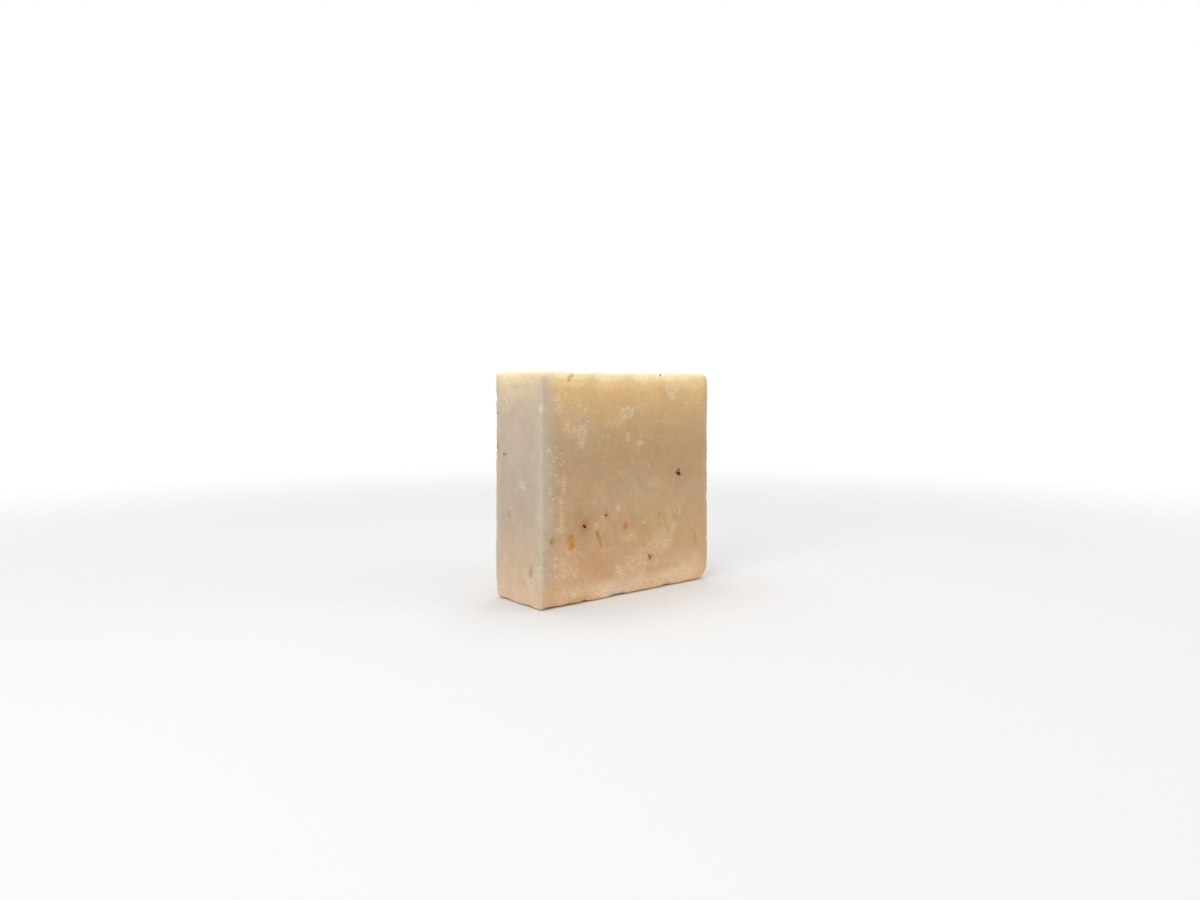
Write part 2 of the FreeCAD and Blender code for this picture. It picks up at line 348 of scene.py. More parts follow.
# drifts of powder and crumbs, by face: across, up, half length, half width, turn, how
# many crumbs, and the share of them that are smeared long
DRIFTS = (
    ("front", (
        (-24.4, 33.0, 5.5, 0.5, 90, 12, 0.0), (-25.1, 25.0, 4.0, 0.5, 90, 12, 0.0),
        (-28.7, 38.0, 9.0, 0.5, 90, 9, 0.0), (-27.0, 37.0, 2.8, 13.0, 0, 14, 0.8),
        (-25.4, 20.5, 1.6, 0.6, 0, 8, 0.2), (-24.0, 11.0, 5.5, 5.0, 60, 44, 0.1),
        (-4.5, 6.5, 1.6, 2.2, 40, 26, 0.1), (0.0, 7.6, 3.4, 2.6, 20, 24, 0.1),
        (4.3, 5.0, 2.4, 1.6, 20, 14, 0.1), (4.5, 9.5, 5.0, 3.4, 15, 66, 0.1),
        (11.5, 13.6, 4.6, 3.4, 30, 72, 0.1), (16.5, 17.9, 0.9, 1.2, 45, 7, 0.0),
        (15.0, 20.5, 4.0, 4.0, 0, 14, 0.0), (-1.0, 16.6, 2.6, 1.2, 10, 8, 0.1),
        (6.0, 13.0, 13.0, 8.0, 25, 46, 0.0), (-8.0, 1.6, 8.0, 1.4, 0, 26, 0.4),
        (8.0, 2.2, 9.5, 1.4, 0, 26, 0.4), (-20.0, 3.2, 5.0, 1.2, 0, 14, 0.4),
        (-18.6, 47.0, 2.0, 1.2, 8, 26, 0.5), (-18.3, 43.6, 1.2, 1.8, 0, 7, 0.0),
        (-23.4, 48.4, 1.4, 1.6, 0, 8, 0.0), (-26.0, 54.0, 2.2, 3.4, 0, 14, 0.0),
        (-21.0, 51.0, 7.0, 7.0, 0, 26, 0.0), (-2.3, 51.0, 3.0, 1.4, 36, 20, 0.7),
        (-1.0, 51.4, 8.0, 1.4, 24, 14, 0.6), (16.2, 57.4, 1.8, 1.6, 40, 12, 0.4),
        (-1.1, 44.6, 0.5, 0.6, 0, 3, 0.0), (3.1, 42.8, 0.8, 0.6, 0, 4, 0.0),
        (20.0, 3.4, 5.0, 1.6, 0, 16, 0.3), (0.0, 30.0, 27.0, 24.0, 0, 30, 0.2),
    )),
    ("left", (
        (0.0, 30.0, 9.0, 27.0, 0, 34, 0.2), (3.4, 56.0, 3.5, 4.0, 0, 16, 0.1),
        (-10.0, 10.2, 2.4, 1.2, -35, 12, 0.4), (-6.6, 6.4, 0.6, 0.8, 0, 5, 0.3),
        (-11.3, 53.0, 0.3, 0.3, 0, 2, 0.0), (-2.4, 32.4, 1.8, 1.3, 0, 8, 0.0),
    )),
    ("back", (
        (-14.0, 16.0, 6.0, 2.6, 22, 60, 0.15), (-4.0, 20.0, 5.5, 2.2, 30, 36, 0.15),
        (13.0, 46.0, 7.0, 1.8, -15, 44, 0.3), (22.0, 30.0, 5.0, 0.6, 85, 18, 0.1),
        (-24.0, 56.0, 3.4, 1.6, 25, 20, 0.3), (0.0, 32.0, 28.0, 27.0, 0, 90, 0.05),
        (0.0, 2.6, 20.0, 1.0, 0, 40, 0.5),
    )),
    ("right", (
        (0.0, 32.0, 8.0, 26.0, 0, 60, 0.1), (2.5, 12.5, 4.0, 3.5, 0, 26, 0.2),
        (-5.0, 38.0, 6.0, 0.6, 90, 14, 0.1), (3.0, 55.0, 3.6, 2.0, 0, 18, 0.2),
    )),
    ("crest", (
        (0.0, 0.0, 27.0, 8.0, 0, 60, 0.1), (-16.0, 2.0, 7.0, 1.8, -5, 34, 0.25),
        (12.0, -3.0, 6.0, 1.6, -10, 26, 0.25),
    )),
    ("foot", ((0.0, 0.0, 26.0, 8.0, 0, 40, 0.1),)),
)
# threads of soap along scratches, by face: the two ends across and up, width, and how
# full; their order decides how the crumbs fall
RUB_MARKS = (
    ("front", (
        (13.6, 57.8, 18.6, 59.4, 0.50, 1.00), (14.0, 58.8, 17.5, 55.8, 0.46, 1.00),
        (14.7, 56.3, 18.2, 57.8, 0.50, 1.00), (-19.9, 45.7, -17.8, 46.3, 0.36, 0.70),
        (15.6, 57.3, 17.0, 56.9, 0.60, 1.00), (-20.0, 47.1, -16.6, 46.8, 0.50, 0.95),
        (-4.6, 49.5, -0.2, 52.1, 0.38, 0.90), (-3.0, 50.0, -0.6, 50.9, 0.50, 0.95),
        (-3.2, 51.5, -0.6, 52.9, 0.36, 0.85), (4.4, 53.6, 6.0, 54.2, 0.34, 0.35),
        (-20.2, 46.6, -17.4, 47.6, 0.50, 0.70), (-27.6, 56.4, -26.2, 55.6, 0.40, 0.50),
        (-26.4, 20.7, -24.6, 20.6, 0.40, 0.80), (19.0, 23.7, 19.4, 22.1, 0.30, 0.60),
        (-5.2, 25.5, -4.7, 24.2, 0.46, 0.85), (-13.1, 20.9, -12.9, 20.2, 0.42, 0.85),
        (-12.5, 2.6, -0.7, 3.0, 0.50, 0.85), (-24.6, 3.8, -15.6, 3.1, 0.44, 0.65),
        (-0.7, 2.9, 15.3, 2.4, 0.44, 0.70), (16.8, 4.7, 22.8, 4.2, 0.46, 0.70),
        (-30.2, 48, -29.8, 28, 0.30, 0.30),
    )),
    ("left", (
        (-7.5, 8.8, -10.8, 11.0, 0.60, 0.95), (-10.7, 53.3, -10.7, 52.7, 0.80, 1.00),
        (-6.5, 7.1, -6.7, 5.9, 0.85, 1.00),
    )),
    ("front", ((-10.5, 22.9, -10.0, 22.6, 0.60, 1.00),)),
    ("left", (
        (0.8, 58.4, 4.2, 53.1, 0.30, 0.35), (6.6, 11.0, 5.0, 11.4, 0.40, 0.55),
        (3.0, 36.0, 5.2, 44.0, 0.26, 0.25),
    )),
    ("back", (
        (-18, 15, -8, 19, 0.42, 0.75), (-12, 13.5, -3, 18.5, 0.34, 0.60), (8, 47.5, 19, 44.5, 0.40, 0.70),
        (10, 44.5, 15, 49.0, 0.32, 0.55), (-26, 55, -21, 57.5, 0.40, 0.60), (21.5, 26, 22.5, 35, 0.32, 0.50),
    )),
    ("right", (
        (-5.4, 33, -4.8, 44, 0.32, 0.55), (0.5, 10.5, 4.5, 14.5, 0.42, 0.60), (1, 56, 5.5, 54, 0.36, 0.55),
    )),
    ("crest", ((-23, 2.6, -10, 1.2, 0.36, 0.60), (7, -2.2, 17, -4.0, 0.36, 0.55))),
)


def paint(red, green, blue):
    """A colour given as it looks on a screen, 0 to 255, as the linear colour that a node holds."""
    def linear(value):
        value /= 255
        return value / 12.92 if value <= 0.04045 else ((value + 0.055) / 1.055) ** 2.4

    return (linear(red), linear(green), linear(blue), 1.0)


HALO_COLOUR = paint(170, 96, 16)
HALO_STRETCH = 1.15  # the oil crept a little further up and down
OIL_SHARE = 0.85  # how much of the powder the oil keeps off
CREST_COLOUR = paint(216, 190, 146)
PATCH_DEPTH = 3.0  # in mm into the block, past an arris
VEIL_DEPTH = 2.0
VEIL_SPREAD = 1.35
WHOLE_FACE = 100  # mm2, above which a drift covers most of a face


def face_reach(face, half_width, half_height, depth):
    """Half sizes on a face, in mm, as a vector on the block's own axes."""
    order = {
        "front": (half_width, depth, half_height), "back": (half_width, depth, half_height),
        "left": (depth, half_width, half_height), "right": (depth, half_width, half_height),
        "crest": (half_width, half_height, depth), "foot": (half_width, half_height, depth),
    }[face]
    return Vector(order) * MM


def oval(face, across, up, half_width, half_height, depth):
    """1 at the middle of a ragged oval on a face of the block, falling smoothly to 0 at its rim."""
    centre = np.array(on_soap_face(face, across, up)[0])
    apart = (ragged_places - centre) / np.array(face_reach(face, half_width, half_height, depth))
    share = np.clip(1 - np.linalg.norm(apart, axis=1), 0, 1)
    return share * share * (3 - 2 * share)


raggedness = np.column_stack([swells(places, 1.5 * MM, seed) for seed in (41, 43, 47)])
ragged_places = places + 0.3 * MM * raggedness
uneven = np.clip(0.9 + 0.3 * swells(places, 3.5 * MM, seed=53), 0.2, 1.2)
tint = np.zeros((len(places), 4))  # red, green, blue, and how much of the soap it hides
film = np.zeros(len(places))


def lay_on(hidden, colour):
    """Hides this share of the tint at each point under the colour."""
    tint[:] += hidden[:, None] * (np.array(colour) - tint)


# the crest faces straight up and dried to an even cream
on_crest = np.clip((normals[:, 2] - 0.80) / 0.18, 0, 1)
lay_on(on_crest * np.clip(0.90 + 0.12 * swells(places, 9 * MM, seed=59), 0, 1), CREST_COLOUR)

for face, across, up, half_width, half_height, strength, tone in each(PATCHES):
    stain = oval(face, across, up, half_width, half_height, PATCH_DEPTH)
    lay_on(np.clip(strength * uneven * stain, 0, 1), paint(*tone))
for face, across, up, reach, strength in each(HALOS):
    lay_on(strength * oval(face, across, up, reach, HALO_STRETCH * reach, reach), HALO_COLOUR)
for face, across, up, half_width, half_height, strength in each(VEILS):
    veil = oval(face, across, up, VEIL_SPREAD * half_width, VEIL_SPREAD * half_height, VEIL_DEPTH)
    film = np.maximum(film, strength * veil)

chance = random.Random(90)


def drift_point(across, up, half_length, half_width, turn):
    """A random place in a drift, in mm across and up, more often near its middle."""
    along = max(-1, min(1, chance.gauss(0, 0.5))) * half_length
    aside = max(-1, min(1, chance.gauss(0, 0.5))) * half_width
    cosine, sine = math.cos(math.radians(turn)), math.sin(math.radians(turn))
    return across + along * cosine - aside * sine, up + along * sine + aside * cosine


def dab(face, across, up, reach, strength):
    """Leaves a soft dab of powder, its place and reach in mm."""
    point, _ = on_soap_face(face, across, up)
    for _, index, away in finder.find_range(point, reach * MM):
        film[index] = max(film[index], strength * (1 - (away / (reach * MM)) ** 2) ** 1.5)


for face, across, up, half_length, half_width, turn, count, _ in each(DRIFTS):
    thinly = half_length * half_width > WHOLE_FACE
    for _ in range(round((0.3 if thinly else 0.8) * count)):
        dab_across, dab_up = drift_point(across, up, half_length, half_width, turn)
        dab(face, dab_across, dab_up, chance.uniform(0.5, 1.2), chance.uniform(0.3, 0.5 if thinly else 1.0))
for face, across, up, across_end, up_end, width, fullness in each(RUB_MARKS):
    for share in (0, 0.25, 0.5, 0.75, 1):
        dab(
            face, across + (across_end - across) * share, up + (up_end - up) * share,
            chance.uniform(0.9, 1.6) * (0.4 + width), fullness * chance.uniform(0.4, 1.0),
        )

# the oil that a seed bled keeps the powder off its halo
for face, across, up, reach, _ in each(HALOS):
    film *= 1 - OIL_SHARE * oval(face, across, up, reach, reach, reach)

tint_layer = soap_mesh.color_attributes.new("tint", "FLOAT_COLOR", "POINT")
tint_layer.data.foreach_set("color", tint.ravel())
film_layer = soap_mesh.attributes.new("powder_film", "FLOAT", "POINT")
film_layer.data.foreach_set("value", film)

# The soap's material: waxy and a little translucent, tan and clear in the middle of
# the cut faces, creamy towards the crest with painted light glowing through the top,
# rosier at the foot with painted warm bounce light, and paler and greyer on the ends,
# partly a bloom where it dried first and partly painted cool light, with painted
# sheen, shade and glow along the arrises.


def put(tree, kind, inputs=None, **settings):
    """Adds a node with these settings, and plugs a value or a socket into each input."""
    node = tree.nodes.new(kind)
    for key, value in settings.items():
        setattr(node, key, value)
    for key, value in (inputs or {}).items():
        if isinstance(value, bpy.types.NodeSocket):
            tree.links.new(value, node.inputs[key])
        else:
            node.inputs[key].default_value = value
    return node


def calc(tree, operation, first, second=0.0, third=0.0):
    """The output of a Math node over values or sockets."""
    node = put(tree, "ShaderNodeMath", {0: first, 1: second, 2: third}, operation=operation)
    return node.outputs[0]


def times(tree, first, second):
    """The product of two values or sockets."""
    return calc(tree, "MULTIPLY", first, second)


def strongest(tree, masks):
    """The largest of the masks at each point."""
    most = masks[0]
    for mask in masks[1:]:
        most = calc(tree, "MAXIMUM", most, mask)
    return most


def vector_calc(tree, operation, *vectors):
    """The output of a Vector Math node over one or two vectors."""
    return put(tree, "ShaderNodeVectorMath", dict(enumerate(vectors)), operation=operation).outputs[0]


def rising(tree, value, start, end):
    """0 below start and 1 above end, with a smooth rise between; falls if start is above end."""
    node = put(
        tree, "ShaderNodeMapRange",
        {"Value": value, "From Min": start, "From Max": end, "To Min": 0.0, "To Max": 1.0},
        interpolation_type="SMOOTHSTEP",
    )
    return node.outputs["Result"]


def blend(tree, share, first, second, way="MIX"):
    """Mixes two colours by the share, which is how much of the second shows."""
    node = put(
        tree, "ShaderNodeMix", {0: share, 6: first, 7: second},
        data_type="RGBA", blend_type=way, clamp_factor=True,
    )
    return node.outputs[2]


def ramp(tree, value, stops):
    """A colour ramp with a soft passage between its stops, each a place and a colour."""
    node = put(tree, "ShaderNodeValToRGB", {0: value})
    band = node.color_ramp
    band.interpolation = "EASE"
    while len(band.elements) < len(stops):
        band.elements.new(0.5)
    for element, (place, colour) in zip(band.elements, stops):
        element.position = place
        element.color = colour
    return node.outputs["Color"]


def painted(stops):
    """The stops of a ramp, written as place, red, green and blue, 0 to 255."""
    return [(place, paint(*tone)) for place, *tone in stops]


def new_group(name, inputs, outputs):
    """An empty shader node group with these sockets, and its two end nodes."""
    group = bpy.data.node_groups.new(name, "ShaderNodeTree")
    for label, kind in inputs:
        group.interface.new_socket(label, in_out="INPUT", socket_type=kind)
    for label, kind in outputs:
        group.interface.new_socket(label, in_out="OUTPUT", socket_type=kind)
    return group, put(group, "NodeGroupInput").outputs, put(group, "NodeGroupOutput").inputs


FLOAT, VECTOR = "NodeSocketFloat", "NodeSocketVector"


def make_cloud_group():
    """Soft clouds of a given size in metres, as a mask from 0 to 1."""
    group, given, out = new_group(
        "soft_clouds", (("Vector", VECTOR), ("Size", FLOAT), ("Contrast", FLOAT)), (("Mask", FLOAT),)
    )
    cloud = put(group, "ShaderNodeTexNoise", {
        "Vector": given["Vector"], "Scale": calc(group, "DIVIDE", 1.0, given["Size"]),
        "Detail": 3.0, "Roughness": 0.55, "Distortion": 0.4,
    })
    centred = calc(group, "SUBTRACT", cloud.outputs[0], 0.5)
    stretched = calc(group, "MULTIPLY_ADD", centred, given["Contrast"], 0.5)
    group.links.new(calc(group, "MINIMUM", calc(group, "MAXIMUM", stretched, 0.0), 1.0), out["Mask"])
    return group


def make_speck_group():
    """Scattered small round specks: the size of their cells, their width as a share of
    a cell, and the share of the cells that hold one."""
    group, given, out = new_group(
        "scattered_specks",
        (("Vector", VECTOR), ("Cell", FLOAT), ("Width", FLOAT), ("Share", FLOAT)),
        (("Mask", FLOAT),),
    )
    cells = put(
        group, "ShaderNodeTexVoronoi",
        {"Vector": given["Vector"], "Scale": calc(group, "DIVIDE", 1.0, given["Cell"]), "Randomness": 1.0},
    )
    split = put(group, "ShaderNodeSeparateColor", {0: cells.outputs["Color"]})
    wide = times(group, given["Width"], calc(group, "MULTIPLY_ADD", split.outputs[1], 0.9, 0.35))
    spot = rising(group, cells.outputs["Distance"], wide, times(group, wide, 0.35))
    kept = calc(group, "LESS_THAN", split.outputs[0], given["Share"])
    group.links.new(times(group, spot, kept), out["Mask"])
    return group


def make_arris_group():
    """Nearness to the block's edges: 1 on an edge, 0 from the reach inwards."""
    group, given, out = new_group("near_an_arris", (("Vector", VECTOR), ("Reach", FLOAT)), (("Mask", FLOAT),))
    middle = (LOW + HIGH) / 2
    centred = vector_calc(group, "SUBTRACT", given["Vector"], middle)
    gap = vector_calc(group, "SUBTRACT", HIGH - middle, vector_calc(group, "ABSOLUTE", centred))
    x, y, z = put(group, "ShaderNodeSeparateXYZ", {0: gap}).outputs
    smaller = calc(group, "MINIMUM", x, y)
    larger = calc(group, "MAXIMUM", x, y)
    second = calc(group, "MAXIMUM", smaller, calc(group, "MINIMUM", larger, z))
    group.links.new(rising(group, calc(group, "DIVIDE", second, given["Reach"]), 1.0, 0.0), out["Mask"])
    return group


def make_wax_relief_group():
    """Fine relief of cut soap: a waxy grain, and long lines that the wire dragged."""
    group, given, out = new_group("wax_relief", (("Vector", VECTOR), ("Drag", FLOAT)), (("Height", FLOAT),))
    grain = put(
        group, "ShaderNodeTexNoise",
        {"Vector": given["Vector"], "Scale": 1300.0, "Detail": 4.0, "Roughness": 0.62},
    )
    drawn_out = put(
        group, "ShaderNodeMapping",
        {"Vector": given["Vector"], "Rotation": (0.0, math.radians(14), 0.0), "Scale": (1100.0, 220.0, 45.0)},
    )
    lines = put(group, "ShaderNodeTexNoise", {"Vector": drawn_out.outputs[0], "Scale": 1.0, "Detail": 2.0})
    height = calc(group, "MULTIPLY_ADD", lines.outputs[0], given["Drag"], grain.outputs[0])
    group.links.new(height, out["Height"])
    return group


cloud_group = make_cloud_group()
speck_group = make_speck_group()
arris_group = make_arris_group()
wax_relief_group = make_wax_relief_group()


def placed(tree, group, **values):
    """The output of one use of a node group, with its own values."""
    return put(tree, "ShaderNodeGroup", values, node_tree=group).outputs[0]


def object_place(tree):
    """The point on the piece, in its own coordinates."""
    return put(tree, "ShaderNodeTexCoord").outputs["Object"]


def add_bump(tree, shader, height, strength, distance):
    """Gives the shader a fine relief of this height."""
    bump = put(tree, "ShaderNodeBump", {"Height": height, "Strength": strength, "Distance": distance})
    tree.links.new(bump.outputs[0], shader.inputs["Normal"])


def new_material(name):
    """A material with only its Principled shader and output, and its tree."""
    material = bpy.data.materials.new(name)
    material.use_nodes = True
    tree = material.node_tree
    tree.nodes.clear()
    shader = put(tree, "ShaderNodeBsdfPrincipled")
    put(tree, "ShaderNodeOutputMaterial", {"Surface": shader.outputs[0]})
    return material, tree, shader


# colours up the middle of a cut face, from foot to crest: place, red, green and blue; the pale cream band at
# the crest is painted light glowing through the top, and the warmer foot is painted warm bounce light
CUT_FACE_TONE_AND_LIGHT = (
    (0.00, 218, 168, 116), (0.02, 226, 184, 142), (0.05, 219, 181, 141), (0.11, 208, 168, 125),
    (0.17, 204, 163, 121), (0.24, 201, 160, 118), (0.33, 195, 158, 117), (0.42, 192, 160, 121),
    (0.52, 186, 155, 114), (0.62, 184, 151, 109), (0.70, 187, 154, 110), (0.78, 197, 162, 115),
    (0.85, 208, 171, 119), (0.905, 219, 181, 122), (0.95, 235, 203, 144), (0.985, 253, 234, 186),
    (1.00, 255, 246, 216),
)
# the same up an end, cooler and greyer: partly a bloom and partly painted cool light, with the same painted
# light at the crest and warm bounce light at the foot
END_TONE_AND_LIGHT = (
    (0.00, 224, 196, 168), (0.05, 217, 189, 160), (0.11, 206, 180, 151), (0.20, 198, 173, 145),
    (0.30, 190, 169, 144), (0.42, 184, 166, 146), (0.55, 184, 168, 149), (0.70, 187, 170, 150),
    (0.80, 191, 173, 151), (0.87, 200, 180, 153), (0.92, 212, 191, 159), (0.96, 229, 208, 168),
    (1.00, 248, 234, 200),
)
# the same for the pale powder and crumbs, brighter towards the crest and the foot with the same painted light
PALE_TONE_AND_LIGHT = (
    (0.0, 255, 222, 186), (0.12, 244, 208, 170), (0.3, 232, 196, 152), (0.7, 234, 200, 160),
    (0.88, 252, 213, 161), (0.95, 255, 230, 175), (1.0, 255, 243, 212),
)
END_POWDER = paint(222, 209, 188)
CREST_POWDER = paint(232, 210, 170)
SOAP_SCATTER = (1.0, 0.62, 0.36)  # how far red, green and blue light travel in it


def powder_tone(tree, x, z, share_up, on_end):
    """The colour of powder and crumbs: brighter at the crest and foot with painted light, cooler on the ends
    and near the left one, partly with painted cool light, duller on top.
    """
    near_left = rising(tree, x, LOW.x + 9 * MM, LOW.x + 2 * MM)
    cooler = calc(tree, "MAXIMUM", times(tree, on_end, 0.75), times(tree, near_left, 0.5))
    tone = blend(tree, cooler, ramp(tree, share_up, painted(PALE_TONE_AND_LIGHT)), END_POWDER)
    on_top = times(tree, rising(tree, z, HEIGHT - 0.5 * MM, HEIGHT - 0.25 * MM), 0.8)
    return blend(tree, on_top, tone, CREST_POWDER)


def let_light_in(shader, weight, reach):
    """Makes the shader a little translucent, as soap is."""
    shader.inputs["Subsurface Weight"].default_value = weight
    shader.inputs["Subsurface Radius"].default_value = SOAP_SCATTER
    shader.inputs["Subsurface Scale"].default_value = reach


soap_material, tree, shader = new_material("soap")
spot_on = object_place(tree)
x, y, z = put(tree, "ShaderNodeSeparateXYZ", {0: spot_on}).outputs
big_cloud = placed(tree, cloud_group, Vector=spot_on, Size=12 * MM, Contrast=1.8)
mid_cloud = placed(tree, cloud_group, Vector=spot_on, Size=4.0 * MM, Contrast=1.7)
fine_cloud = placed(tree, cloud_group, Vector=spot_on, Size=0.9 * MM, Contrast=2.0)

# the cut faces and the ends, coloured from foot to crest, with painted light at the crest and painted warm
# bounce light at the foot
wobble = times(tree, calc(tree, "SUBTRACT", big_cloud, 0.5), 0.045)
share_up = calc(tree, "ADD", calc(tree, "DIVIDE", z, HEIGHT), wobble)
cut_face = ramp(tree, share_up, painted(CUT_FACE_TONE_AND_LIGHT))
end_face = ramp(tree, share_up, painted(END_TONE_AND_LIGHT))
on_end = rising(tree, calc(tree, "ABSOLUTE", x), HIGH.x - 0.9 * MM, HIGH.x - 0.15 * MM)
# the end's tone, partly bloom and partly painted cool light, carried onto the cut faces near the left end
left_bloom_and_cool_light = times(tree, rising(tree, x, LOW.x + 8.5 * MM, LOW.x), 0.70)
off_foot = calc(tree, "MULTIPLY_ADD", rising(tree, z, 0.0, 14 * MM), 0.5, 0.5)
left_bloom_and_cool_light = times(tree, left_bloom_and_cool_light, off_foot)
colour = blend(tree, calc(tree, "MAXIMUM", on_end, left_bloom_and_cool_light), cut_face, end_face)
rosier = times(tree, rising(tree, big_cloud, 0.45, 0.95), 0.12)
colour = blend(tree, rosier, colour, paint(206, 160, 124))
greener = times(tree, rising(tree, big_cloud, 0.50, 0.05), 0.15)
colour = blend(tree, greener, colour, paint(188, 168, 122))

# the stains and halos
tint_read = put(tree, "ShaderNodeAttribute", attribute_name="tint").outputs
colour = blend(tree, tint_read["Alpha"], colour, (0.0, 0.0, 0.0, 1.0))
colour = blend(tree, 1.0, colour, tint_read["Color"], "ADD")

# painted sheen and shade along the left arrises, and a greener, paler band by the right ones
from_back = calc(tree, "SUBTRACT", HIGH.y, calc(tree, "ABSOLUTE", y))
left_arris = calc(tree, "MAXIMUM", calc(tree, "SUBTRACT", x, LOW.x), from_back)
below_crest = rising(tree, z, HEIGHT, HEIGHT - 3.5 * MM)
above_foot = calc(tree, "MULTIPLY_ADD", rising(tree, z, 0.5 * MM, 13 * MM), 0.54, 0.18)
# a pale, cool painted sheen in a band beside the left upright edges
left_painted_sheen = times(tree, rising(tree, left_arris, 4.6 * MM, 0.2 * MM), below_crest)
colour = blend(tree, times(tree, left_painted_sheen, above_foot), colour, paint(194, 182, 163))
# painted shade right on the left upright edges
left_rim_painted_shade = times(tree, rising(tree, left_arris, 1.5 * MM, 0.0), times(tree, below_crest, 0.36))
colour = blend(tree, left_rim_painted_shade, colour, paint(182, 169, 144))
# a greener, paler band along the right end's upright edges
right_arris = calc(tree, "MAXIMUM", calc(tree, "SUBTRACT", HIGH.x, x), times(tree, from_back, 2.2))
right_band = times(tree, rising(tree, right_arris, 3.2 * MM, 0.1 * MM), 0.75)
colour = blend(tree, right_band, colour, paint(190, 173, 127))
# a painted pale glow of light along every edge; the same nearness also makes the edges rougher below
arris = placed(tree, arris_group, Vector=spot_on, Reach=1.6 * MM)
colour = blend(tree, times(tree, arris, 0.10), colour, paint(226, 212, 184))

dull = ramp(tree, mid_cloud, ((0.0, (0.89, 0.88, 0.87, 1.0)), (1.0, (1.10, 1.10, 1.10, 1.0))))
colour = blend(tree, 0.55, colour, dull, "MULTIPLY")
grainy = ramp(tree, fine_cloud, ((0.0, (0.93, 0.93, 0.92, 1.0)), (1.0, (1.06, 1.06, 1.07, 1.0))))
colour = blend(tree, 0.7, colour, grainy, "MULTIPLY")

# the powder: in drifts with their grit, and sparse everywhere
film_on = put(tree, "ShaderNodeAttribute", attribute_name="powder_film").outputs["Fac"]
powder = placed(tree, cloud_group, Vector=spot_on, Size=1.0 * MM, Contrast=2.8)
powdery = times(tree, film_on, calc(tree, "MULTIPLY_ADD", powder, 0.72, 0.20))
grit = placed(tree, speck_group, Vector=spot_on, Cell=0.75 * MM, Width=0.34, Share=0.55)
grit = times(tree, grit, film_on)
bloom = placed(tree, cloud_group, Vector=spot_on, Size=8 * MM, Contrast=3.0)
sparse = placed(tree, speck_group, Vector=spot_on, Cell=1.5 * MM, Width=0.20, Share=0.24)
sparse = times(tree, sparse, calc(tree, "MULTIPLY_ADD", bloom, 0.38, 0.06))
pale = strongest(tree, (powdery, grit, sparse))
colour = blend(tree, times(tree, pale, 0.95), colour, powder_tone(tree, x, z, share_up, on_end))

brown_specks = placed(tree, speck_group, Vector=spot_on, Cell=3.4 * MM, Width=0.075, Share=0.20)
colour = blend(tree, times(tree, brown_specks, 0.6), colour, paint(128, 88, 52))
pores = placed(tree, speck_group, Vector=spot_on, Cell=1.7 * MM, Width=0.20, Share=0.16)
colour = blend(tree, times(tree, pores, 0.22), colour, paint(140, 108, 74))
tree.links.new(colour, shader.inputs["Base Color"])

rough = calc(tree, "MULTIPLY_ADD", mid_cloud, 0.14, 0.42)
rough = calc(tree, "MULTIPLY_ADD", pale, 0.25, rough)
tree.links.new(calc(tree, "MULTIPLY_ADD", arris, 0.08, rough), shader.inputs["Roughness"])
relief = placed(tree, wax_relief_group, Vector=spot_on, Drag=0.35)
for mark, rises in ((pores, -1.6), (grit, 0.7), (powdery, 0.5)):
    relief = calc(tree, "MULTIPLY_ADD", mark, rises, relief)
add_bump(tree, shader, relief, 0.6, 0.10 * MM)
shader.inputs["IOR"].default_value = 1.46
let_light_in(shader, 0.35, 1.8 * MM)
soap_mesh.materials.append(soap_material)

# The seeds and husks: whole and broken seeds stirred into the batter, dark brown and
# hard. Each lies half sunk in a small hollow of the surface.

RAY_START = 4 * MM  # outside the block, where a line into it starts
SEED_SUNK = 0.10  # the share of its thickness that a seed or crumb is moved in by

soap_skin = BVHTree.FromObject(soap, bpy.context.evaluated_depsgraph_get())


def seat(face, across, up):
    """Where a line into the face meets the worn soap, and the way out there."""
    point, out = on_soap_face(face, across, up)
    hit, normal, _, _ = soap_skin.ray_cast(point + out * RAY_START, -out)
    return hit, normal


def level_on(out):
    """The level direction on a surface, or the bar's length on the crest and foot."""
    level = Vector((0, 0, 1)).cross(out)
    if level.length < 0.5:
        level = Vector((1, 0, 0))
    return (level - out * level.dot(out)).normalized()


def lying(place, out, turn):
    """A frame at the place whose z points out and whose x is turned so many degrees from level."""
    level = level_on(out)
    basis = Matrix((level, out.cross(level), out)).transposed()
    return Matrix.Translation(place) @ basis.to_4x4() @ Matrix.Rotation(math.radians(turn), 4, "Z")


def finish_piece(name, mesh, material):
    """Turns the bmesh into a smooth piece, no larger than the block, that rides with the bar."""
    for vert in mesh.verts:
        vert.co = [min(max(value, low), high) for value, low, high in zip(vert.co, LOW, HIGH)]
    bmesh.ops.recalc_face_normals(mesh, faces=mesh.faces)
    data = bpy.data.meshes.new(name)
    mesh.to_mesh(data)
    mesh.free()
    data.shade_smooth()
    data.materials.append(material)
    piece = link_object(name, data)
    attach(piece, "root")


seeds = bmesh.new()
seed_places = []
for face, across, up, length, width, turn in each(SEEDS):
    place, out = seat(face, across, up)
    seed_places.append(place)
    thick = 0.42 * width
    there = lying(place - out * SEED_SUNK * thick * MM, out, turn)
    size = Matrix.Diagonal((length / 2 * MM, width / 2 * MM, thick / 2 * MM, 1))
    made = bmesh.ops.create_icosphere(seeds, subdivisions=3, radius=1, matrix=there @ size)
    for vert in made["verts"]:
        dent = noise.noise(vert.co / (0.4 * MM))
        vert.co += (vert.co - place) * 0.45 * dent

